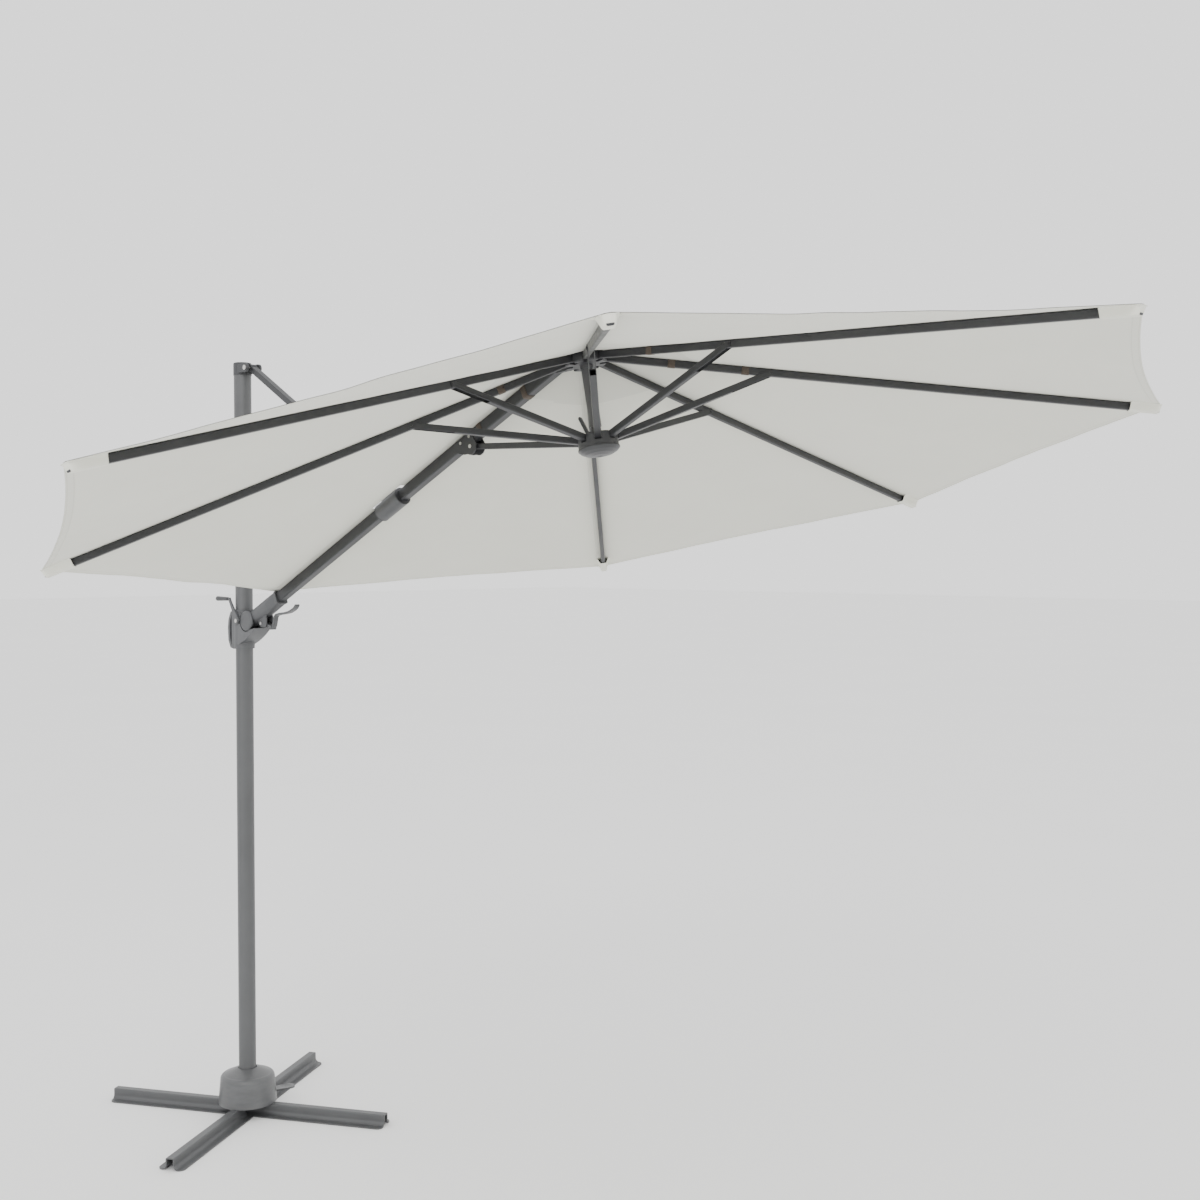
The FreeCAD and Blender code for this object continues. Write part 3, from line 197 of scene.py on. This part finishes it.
# ---- materials ----
def powder_coat(name, color, roughness, wear=0.0, grain=1.0):
    """Powder coat: an orange-peel surface, slightly cloudy, with dust and rubbed patches."""
    nodes = Nodes(name, color, roughness, 0.25)
    place = nodes.place()
    clouds = nodes.noise(place, 7.0, 5.0)
    base = nodes.mix(nodes.ramp(clouds, 0.35, 0.65), shade(color, 0.93), shade(color, 1.07))
    scuffs = nodes.noise(place, 38.0, 8.0, 0.7)
    rubbed = nodes.ramp(scuffs, 0.66, 0.76, 0.0, wear)
    nodes.set_color(nodes.mix(rubbed, base, shade(color, 1.7)))
    nodes.set_roughness(nodes.ramp(clouds, 0.3, 0.7, roughness - 0.05, roughness + 0.08))
    peel = nodes.noise(place, 1400.0, 2.0)
    nodes.set_normal(nodes.bump(peel, 0.22 * grain, 0.0004))
    return nodes.material


def moulded_plastic(name, color, roughness):
    """Moulded plastic with a spark-eroded grain and faint flow marks."""
    nodes = Nodes(name, color, roughness)
    place = nodes.place()
    flow = nodes.noise(place, 16.0, 3.0, 0.5, (1.0, 1.0, 3.0))
    nodes.set_color(nodes.mix(nodes.ramp(flow, 0.35, 0.65), shade(color, 0.9), shade(color, 1.12)))
    nodes.set_roughness(nodes.ramp(flow, 0.3, 0.7, roughness - 0.06, roughness + 0.06))
    grain = nodes.add("ShaderNodeTexVoronoi")
    grain.inputs["Scale"].default_value = 900.0
    nodes.link(place, grain.inputs["Vector"])
    nodes.set_normal(nodes.bump(grain.outputs["Distance"], 0.3, 0.0003))
    return nodes.material


def drawn_metal(name, color, roughness, stretch):
    """Bright metal with fine lines along the way it was drawn or turned."""
    nodes = Nodes(name, color, roughness, 1.0)
    place = nodes.place()
    lines = nodes.noise(place, 300.0, 3.0, 0.6, stretch)
    nodes.set_color(nodes.mix(lines, shade(color, 0.82), shade(color, 1.1)))
    nodes.set_roughness(nodes.ramp(lines, 0.3, 0.7, roughness - 0.08, roughness + 0.12))
    nodes.set_normal(nodes.bump(lines, 0.15, 0.0002))
    return nodes.material


CLOTH_COLOR = (0.70, 0.70, 0.62)
THREAD = 0.0011
RIB_SEAMS = (0.010, 0.017)         # the two rows of stitches beside a rib
HEM_SEAMS = (0.004, HEM_BAND - 0.003)
VENT_SHADE_MARGIN = 0.004               # how far the painted shadow of the vent roof reaches beyond the roof's rim
RIB_FOLD = 0.0195                  # half the width of the doubled cloth over a rib
STITCH_HALF = 0.0011
STITCH_PITCH = 0.0042


def woven_cloth(name, color, stitched):
    """Canvas in a plain weave. If stitched, it has two rows of stitches beside a rib, a sewn hem and a
    painted shadow under the vent roof.
    """
    nodes = Nodes(name, color, 0.86)
    nodes.shader.inputs["Sheen Weight"].default_value = 0.18
    nodes.shader.inputs["Sheen Roughness"].default_value = 0.5
    across_along = nodes.add("ShaderNodeUVMap", uv_map="cloth").outputs["UV"]
    split = nodes.add("ShaderNodeSeparateXYZ")
    nodes.link(across_along, split.inputs[0])
    across, along = split.outputs[0], split.outputs[1]
    warp = nodes.math("SINE", nodes.math("MULTIPLY", across, 2 * math.pi / THREAD))
    weft = nodes.math("SINE", nodes.math("MULTIPLY", along, 2 * math.pi / THREAD))
    weave = nodes.math("MULTIPLY", warp, weft)
    slubs = nodes.noise(across_along, 90.0, 4.0, 0.6, (1.0, 9.0, 1.0))
    drift = nodes.noise(across_along, 2.6, 3.0)
    tint = nodes.mix(nodes.ramp(drift, 0.3, 0.7), shade(color, 0.975), shade(color, 1.02))
    tint = nodes.mix(nodes.ramp(slubs, 0.35, 0.75, 0.0, 0.25), tint, shade(color, 0.93))
    normal = nodes.bump(weave, 0.12, 0.0003)
    creases = nodes.noise(across_along, 11.0, 3.0, 0.5, (1.0, 0.3, 1.0))
    normal = nodes.bump(creases, 0.12, 0.004, normal)
    if stitched:
        tint, normal = add_seams_and_vent_shade(nodes, across, along, tint, normal, color)
    nodes.set_color(tint)
    nodes.set_normal(normal)
    return nodes.material


def row_of_stitches(nodes, distance, along, offset):
    """1 on the stitches of a seam that runs at offset from the line where distance is 0."""
    near = nodes.math("COMPARE", distance, offset, STITCH_HALF)
    steps = nodes.math("SINE", nodes.math("MULTIPLY", along, 2 * math.pi / STITCH_PITCH))
    return nodes.math("MULTIPLY", near, nodes.ramp(steps, -0.2, 0.2))


def add_seams_and_vent_shade(nodes, across, along, tint, normal, color):
    """Stitches and folded cloth beside a rib and along the hem, and a painted shadow of the vent roof on the
    cloth beneath it.
    """
    hem = nodes.add("ShaderNodeSeparateXYZ")
    nodes.link(nodes.add("ShaderNodeUVMap", uv_map="hem").outputs["UV"], hem.inputs[0])
    from_hem, hem_run = hem.outputs[0], hem.outputs[1]
    beside_rib = nodes.math("ABSOLUTE", across)
    rows = row_of_stitches(nodes, beside_rib, along, RIB_SEAMS[0])
    rows = nodes.math("MAXIMUM", rows, row_of_stitches(nodes, beside_rib, along, RIB_SEAMS[1]))
    for offset in HEM_SEAMS:
        rows = nodes.math("MAXIMUM", rows, row_of_stitches(nodes, from_hem, hem_run, offset))
    fold = nodes.math("LESS_THAN", beside_rib, RIB_FOLD)
    fold = nodes.math("MAXIMUM", fold, nodes.math("LESS_THAN", from_hem, HEM_BAND))
    # painted shadow: the cloth under the vent roof, and a little beyond its rim, is drawn darker where the
    # roof keeps the light off it
    vent_shade_mask = nodes.math("LESS_THAN", along, VENT_R + VENT_SHADE_MARGIN)
    tint = nodes.mix(nodes.math("MULTIPLY", vent_shade_mask, 0.8), tint, shade(color, 0.86))
    tint = nodes.mix(nodes.math("MULTIPLY", fold, 0.5), tint, shade(color, 0.93))
    tint = nodes.mix(nodes.math("MULTIPLY", rows, 0.75), tint, shade(color, 0.70))
    normal = nodes.bump(fold, 0.5, 0.0008, normal)
    normal = nodes.bump(rows, 0.4, 0.0006, normal)
    return tint, normal


def webbing(name, color):
    """A narrow woven strap with ribs across it."""
    nodes = Nodes(name, color, 0.8)
    place = nodes.place()
    wave = nodes.add("ShaderNodeTexWave", wave_type="BANDS", bands_direction="DIAGONAL")
    wave.inputs["Scale"].default_value = 420.0
    wave.inputs["Distortion"].default_value = 0.6
    nodes.link(place, wave.inputs["Vector"])
    nodes.set_color(nodes.mix(wave.outputs["Fac"], shade(color, 0.75), shade(color, 1.25)))
    nodes.set_normal(nodes.bump(wave.outputs["Fac"], 0.5, 0.0005))
    return nodes.material


def floor_material():
    nodes = Nodes("studio_floor", (0.93, 0.93, 0.925), 0.75)
    soft = nodes.noise(nodes.place(), 0.6, 2.0)
    nodes.set_color(nodes.mix(nodes.ramp(soft, 0.3, 0.7), (0.925, 0.925, 0.92), (0.94, 0.94, 0.935)))
    return nodes.material


MATERIALS = {
    "beam": powder_coat("beam_grey", (0.090, 0.092, 0.095), 0.42, 0.35),
    "mast": powder_coat("mast_grey", (0.092, 0.094, 0.097), 0.40, 0.2),
    "arm": powder_coat("anthracite", (0.034, 0.035, 0.038), 0.42, 0.15),
    "cast": powder_coat("cast_anthracite", (0.050, 0.051, 0.055), 0.46, 0.2, 1.8),
    "head": powder_coat("cast_grey", (0.080, 0.082, 0.086), 0.44, 0.2, 1.8),
    "tube": powder_coat("tube_grey", (0.085, 0.086, 0.090), 0.36, 0.15),
    "cover": moulded_plastic("cover_grey", (0.094, 0.096, 0.099), 0.38),
    "dark": moulded_plastic("dark_plastic", (0.036, 0.037, 0.040), 0.42),
    "slider": moulded_plastic("slider_plastic", (0.080, 0.082, 0.086), 0.44),
    "pale": moulded_plastic("bearing_plastic", (0.62, 0.61, 0.57), 0.45),
    "steel": drawn_metal("zinc_steel", (0.62, 0.61, 0.59), 0.32, (1.0, 1.0, 12.0)),
    "cloth": woven_cloth("canopy_cloth", CLOTH_COLOR, True),
    "vent": woven_cloth("vent_cloth", CLOTH_COLOR, False),
    "pocket": woven_cloth("pocket_cloth", shade(CLOTH_COLOR, 1.08), False),
    "strap": webbing("strap_webbing", (0.085, 0.066, 0.052)),
}

CAD_FINISH = {
    "beam": ["beam_lower", "beam_upper", "base_socket", "brake_ring"],
    "mast": ["mast"],
    "cover": ["base_cover", "brake_pedal"],
    "steel": ["beam_bolts", "pedal_pin", "pedal_spring", "mast_head_bolt", "strut_bolt", "bracket_rivets",
              "bracket_pin", "tilt_lever_pin", "pivot_bolt", "clamp_screw", "hub_pins", "runner_pins",
              "latch_pin"],
    "pale": ["socket_bearings", "slider_liner"],
    "head": ["arm_knuckle", "arm_ferrule", "arm_collar"],
    "arm": ["arm", "strut", "stretcher_bracket"],
    "cast": ["mast_head", "arm_head"],
    "slider": ["slider_body", "slider_grip", "clamp_lever", "tilt_lever"],
    "dark": ["collar_bush", "clamp_lever_grip", "top_hub", "hub_cap", "runner",
             "latch_lever"],
    "tube": ["centre_tube"],
}
CAD_FINISH["arm"] += ["rib_" + letter for letter in AZIMUTHS if letter != "c"]
CAD_FINISH["arm"] += ["stretcher_" + letter for letter in AZIMUTHS]


def finish_cad_nodes():
    for finish, names in CAD_FINISH.items():
        for name in names:
            node = frame["nodes"][name]
            for slot in node.material_slots:
                slot.material = MATERIALS[finish]


# ---- cloth ----
def rib_line(azimuth, radius, side=0, extra=0.0):
    """Where the cloth lies on a rib at that radius; side picks an edge of the flat strip on it."""
    on_arm = azimuth % 360 == AZIMUTHS["c"]
    cover = ARM_TOP if on_arm else RIB_TOP
    height = (cover + CLOTH_GAP) / math.sin(RIB_ANGLE) + extra
    height -= (radius - PIN_R) / math.tan(RIB_ANGLE)
    if on_arm:
        run = ((radius - PIN_R) / math.sin(RIB_ANGLE) - LIP_AT[0]) / (LIP_AT[1] - LIP_AT[0])
        run = min(1.0, max(0.0, run))
        height += LIP_RISE * run * run * (3 - 2 * run)
    out, tangent = spoke(azimuth)
    flat = ARM_FLAT if on_arm else RIB_FLAT
    return HUB + out * radius + tangent * (side * flat) + UP * height


OUTER_R = PIN_R + RIB_REACH * math.sin(RIB_ANGLE)


def hem_radius(azimuth):
    on_arm = azimuth % 360 == AZIMUTHS["c"]
    return OUTER_R + (ARM_SIDE_REACH * math.sin(RIB_ANGLE) if on_arm else 0.0)


def cloth_surface(azimuth, along, across):
    """A point of the canopy. along runs 0 to 1 out to the hem, across -1 to 1 between the mid-gore lines."""
    side = 1 if across >= 0 else -1
    share = abs(across) / 2
    following = azimuth + GORE * side
    start = rib_line(azimuth, INNER_R + (hem_radius(azimuth) - INNER_R) * along, side)
    end = rib_line(following, INNER_R + (hem_radius(following) - INNER_R) * along, -side)
    point = start.lerp(end, share)
    bow = 4 * share * (1 - share)
    middle_in = (rib_line(azimuth, INNER_R, side) + rib_line(following, INNER_R, -side)) / 2
    inwards = (middle_in - point).normalized() if along > 0.02 else Vector()
    point += inwards * (HEM_SAG * bow * along ** 3)
    point -= UP * (GORE_SAG * bow * math.sin(math.pi * min(1.0, along * 0.8)))
    ripple = sum(noise.noise(point * scale) * height for scale, height in (BROAD_RIPPLE, FINE_RIPPLE))
    return point + UP * (ripple * bow * min(1.0, 4 * along))


def grid_mesh(name, rows, columns, point_at, keep_face=None):
    """A mesh of quads over a rows by columns grid, with every vertex from point_at(row, column)."""
    points = [point_at(i, j) for i in range(rows) for j in range(columns)]
    faces = []
    for i in range(rows - 1):
        for j in range(columns - 1):
            if keep_face is not None and not keep_face(i, j):
                continue
            a = i * columns + j
            faces.append((a, a + 1, a + columns + 1, a + columns))
    mesh = bpy.data.meshes.new(name)
    mesh.from_pydata(points, [], faces)
    mesh.polygons.foreach_set("use_smooth", [True] * len(mesh.polygons))
    return mesh


def add_uv(mesh, name, values):
    layer = mesh.uv_layers.new(name=name)
    for loop in mesh.loops:
        layer.data[loop.index].uv = values[loop.vertex_index]


def add_piece(name, mesh, material):
    mesh.materials.append(MATERIALS[material])
    piece = bpy.data.objects.new(name, mesh)
    bpy.context.scene.collection.objects.link(piece)
    return piece


def thicken(piece, thickness, rim=False):
    solid = piece.modifiers.new("thickness", "SOLIDIFY")
    solid.thickness = thickness
    solid.offset = 0.0
    solid.use_rim = rim


def rib_body(letter):
    """The body that a rib's cloth rides on. The arm takes the place of rib c."""
    return "arm" if letter == "c" else "rib_" + letter


PETAL_ROWS = 90
ACROSS = 40


def across_steps():
    """Finer steps near the rib, where the cloth bends over it."""
    half = [(step / ACROSS) ** 1.5 for step in range(ACROSS + 1)]
    return [-value for value in reversed(half[1:])] + half


def make_petal(letter):
    """The cloth from the middle of one gore to the middle of the next, held by the rib between them."""
    azimuth = AZIMUTHS[letter]
    steps = across_steps()
    columns = len(steps)
    reach = hem_radius(azimuth) - INNER_R
    slit_along = [(PIN_R + s * math.sin(RIB_ANGLE) - INNER_R) / reach for s in SLIT[0]]

    def point_at(i, j):
        return cloth_surface(azimuth, i / (PETAL_ROWS - 1), steps[j])

    def keep_face(i, j):
        if letter != "c":
            return True
        along = (i + 0.5) / (PETAL_ROWS - 1)
        if not slit_along[0] < along < slit_along[1]:
            return True
        radius = INNER_R + reach * along
        middle = (steps[j] + steps[j + 1]) / 2
        across = abs(middle) * radius * math.tan(HALF_GORE) + ARM_FLAT * (1 - abs(middle))
        return across > SLIT[1]

    mesh = grid_mesh("canopy_" + letter, PETAL_ROWS, columns, point_at, keep_face)
    middle_column = columns // 2
    corner = mesh.vertices[(PETAL_ROWS - 1) * columns + middle_column].co
    cloth_uv, hem_uv = [], []
    for i in range(PETAL_ROWS):
        spine = mesh.vertices[i * columns + middle_column].co
        for j in range(columns):
            vertex = mesh.vertices[i * columns + j].co
            edge = mesh.vertices[(PETAL_ROWS - 1) * columns + j].co
            sign = 1.0 if steps[j] >= 0 else -1.0
            cloth_uv.append((sign * (vertex - spine).length, INNER_R + reach * i / (PETAL_ROWS - 1)))
            hem_uv.append(((vertex - edge).length, sign * (edge - corner).length))
    add_uv(mesh, "cloth", cloth_uv)
    add_uv(mesh, "hem", hem_uv)
    petal = add_piece("canopy_" + letter, mesh, "cloth")
    finish_petal(petal, letter)
    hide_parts("canopy")


def finish_petal(petal, letter):
    """Thicken the cloth and let it ride the rib."""
    thicken(petal, CLOTH_THICK)
    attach(petal, rib_body(letter))
    out, tangent = spoke(AZIMUTHS[letter])
    tuple(tangent)
    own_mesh(petal)


VENT_ROWS = 24


def make_vent_petal(letter):
    """One eighth of the small roof over the vent."""
    azimuth = AZIMUTHS[letter]
    steps = across_steps()[::2]
    peak = HUB + UP * VENT_PEAK

    def point_at(i, j):
        along = VENT_START + (1 - VENT_START) * i / (VENT_ROWS - 1)
        side = 1 if steps[j] >= 0 else -1
        share = abs(steps[j]) / 2
        start = rib_line(azimuth, VENT_R, side, VENT_RISE)
        end = rib_line(azimuth + GORE * side, VENT_R, -side, VENT_RISE)
        rim = start.lerp(end, share)
        point = peak.lerp(rim, along)
        bow = 4 * share * (1 - share)
        inwards = (peak - rim).normalized() * (VENT_HEM_SAG * bow * along)
        return point + inwards - UP * (VENT_SAG * bow * math.sin(math.pi * along))

    mesh = grid_mesh("vent_" + letter, VENT_ROWS, len(steps), point_at)
    middle = len(steps) // 2
    values = []
    for i in range(VENT_ROWS):
        spine = mesh.vertices[i * len(steps) + middle].co
        for j in range(len(steps)):
            vertex = mesh.vertices[i * len(steps) + j].co
            sign = 1.0 if steps[j] >= 0 else -1.0
            values.append((sign * (vertex - spine).length, (spine - peak).length))
    add_uv(mesh, "cloth", values)
    petal = add_piece("vent_" + letter, mesh, "vent")
    finish_petal(petal, letter)
    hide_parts("vent_cap")


# ---- pockets and straps ----
POCKET_LENGTH = 0.086
POCKET_HALF = (0.026, 0.017)       # half its width where it starts and at the rib's tip
POCKET_WALL = 0.0015               # between a rib's faces and the pocket round its tip
POCKET_THICK = 0.0008
POCKET_SEAM_DROP = 0.0011          # from the middle of the canopy's cloth down to the pocket's seam
CLOTH_FALL = 0.11          # how steeply the cloth falls away beside a rib


def rib_place(letter, along, across, height):
    """A point given along a rib from its hub pin, across it, and above its centre line."""
    out, tangent = spoke(AZIMUTHS[letter])
    run = out * math.sin(RIB_ANGLE) - UP * math.cos(RIB_ANGLE)
    rise = out * math.cos(RIB_ANGLE) + UP * math.sin(RIB_ANGLE)
    above_pin = PIN_DROP if letter == "c" else 0.0
    return HUB + out * PIN_R + run * along + tangent * across + rise * (height + above_pin)


def smooth_step(value, low, high):
    share = min(1.0, max(0.0, (value - low) / (high - low)))
    return share * share * (3 - 2 * share)


def make_pocket(letter):
    """The pale pocket sewn under a corner of the canopy, which holds the tip of its rib."""
    rows, columns = 26, 33
    bottom = -RIB_HALF[1] - POCKET_WALL

    def point_at(i, j):
        share = i / (rows - 1)
        half = POCKET_HALF[0] + (POCKET_HALF[1] - POCKET_HALF[0]) * share
        across = half * (2 * j / (columns - 1) - 1)
        seam = RIB_TOP + CLOTH_GAP - POCKET_SEAM_DROP - CLOTH_FALL * max(0.0, abs(across) - RIB_FLAT)
        inside = 1 - smooth_step(abs(across), RIB_HALF[0] + POCKET_WALL, half * 0.86)
        closed = 1 - smooth_step(share, 0.93, 1.0)
        along = RIB_REACH - 0.001 - POCKET_LENGTH * (1 - share)
        return rib_place(letter, along, across, seam + (bottom - seam) * inside * closed)

    mesh = grid_mesh("pocket_" + letter, rows, columns, point_at)
    width, length = 2 * POCKET_HALF[0] / (columns - 1), POCKET_LENGTH / (rows - 1)
    add_uv(mesh, "cloth", [(width * j, length * i) for i in range(rows) for j in range(columns)])
    pocket = add_piece("pocket_" + letter, mesh, "pocket")
    thicken(pocket, POCKET_THICK, rim=True)
    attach(pocket, rib_body(letter))


STRAP_WIDTH = 0.020
STRAP_THICK = 0.0008
STRAP_CORNER = 0.0042
STRAP_GAP = 0.0006
# where each strap starts, from the hub pin of its rib
STRAPS = {"b": (0.185,), "c": (0.18, 0.39), "g": (0.18,), "f": (0.175, 0.375)}


def rounded_loop(half_width, half_height, radius):
    """Points round a rectangle with rounded corners, the last one back on the first."""
    points = []
    for quarter, (x, z) in enumerate(((1, 1), (-1, 1), (-1, -1), (1, -1))):
        for step in range(6):
            angle = math.radians(90 * quarter + 18 * step)
            points.append((x * (half_width - radius) + radius * math.cos(angle),
                           z * (half_height - radius) + radius * math.sin(angle)))
    return points + points[:1]


def make_strap(letter, number, along):
    """A webbing loop sewn to the cloth, round a rib or the arm."""
    half = ARM_HALF if letter == "c" else RIB_HALF
    loop = rounded_loop(half[0] + STRAP_GAP, half[1] + STRAP_GAP, STRAP_CORNER)
    rows = 5

    def point_at(i, j):
        across, height = loop[j]
        return rib_place(letter, along + STRAP_WIDTH * i / (rows - 1), across, height)

    name = "strap_%s_%d" % (letter, number)
    mesh = grid_mesh(name, rows, len(loop), point_at)
    strap = add_piece(name, mesh, "strap")
    thicken(strap, STRAP_THICK, rim=True)
    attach(strap, rib_body(letter))


# ---- stage, light and camera ----
CAMERA_AT = Vector((4.529, -2.849, 1.975))
CAMERA_YAW = math.radians(134.32)
CAMERA_PITCH = math.radians(-1.76)
CAMERA_LENS = 44.46
FLOOR_HALF = 60.0
FLOOR_DROP = 0.0005
WORLD_STRENGTH = 1.6
# each light's place, target, diameter and watts
LIGHTS = {
    "key": ((5.5, -5.0, 6.5), (1.0, 0.0, 1.5), 3.5, 230.0),
    "fill": ((2.0, -6.5, 0.9), (1.6, 0.0, 2.2), 3.0, 45.0),
}


def make_camera():
    camera = bpy.data.objects.new("camera", bpy.data.cameras.new("camera"))
    camera.data.lens = CAMERA_LENS
    camera.data.sensor_width = 36.0
    camera.data.clip_end = 200.0
    camera.location = CAMERA_AT
    camera.rotation_euler = (math.radians(90) + CAMERA_PITCH, 0.0, CAMERA_YAW - math.radians(90))
    bpy.context.scene.collection.objects.link(camera)
    bpy.context.scene.camera = camera


def make_floor():
    mesh = bpy.data.meshes.new("floor")
    corners = [(x * FLOOR_HALF, y * FLOOR_HALF, 0) for x, y in ((-1, -1), (1, -1), (1, 1), (-1, 1))]
    mesh.from_pydata(corners, [], [(0, 1, 2, 3)])
    mesh.materials.append(floor_material())
    floor = bpy.data.objects.new("floor", mesh)
    floor.location = (0.0, 0.0, -FLOOR_DROP)
    bpy.context.scene.collection.objects.link(floor)


def add_area_light(name, place, target, size, power):
    light = bpy.data.lights.new(name, "AREA")
    light.shape = "DISK"
    light.size = size
    light.energy = power
    lamp = bpy.data.objects.new(name, light)
    lamp.location = place
    lamp.rotation_euler = (Vector(target) - Vector(place)).to_track_quat("-Z", "Y").to_euler()
    bpy.context.scene.collection.objects.link(lamp)


def make_light():
    world = bpy.data.worlds.new("studio")
    world.use_nodes = True
    background = world.node_tree.nodes["Background"]
    background.inputs["Color"].default_value = (1.0, 1.0, 1.0, 1.0)
    background.inputs["Strength"].default_value = WORLD_STRENGTH
    bpy.context.scene.world = world
    for name, values in LIGHTS.items():
        add_area_light(name, *values)


finish_cad_nodes()
for petal_letter in AZIMUTHS:
    make_petal(petal_letter)
    make_vent_petal(petal_letter)
    if petal_letter != "c":
        make_pocket(petal_letter)
for strap_letter, places in STRAPS.items():
    for strap_number, place_along in enumerate(places, 1):
        make_strap(strap_letter, strap_number, place_along)
make_floor()
make_light()
make_camera()
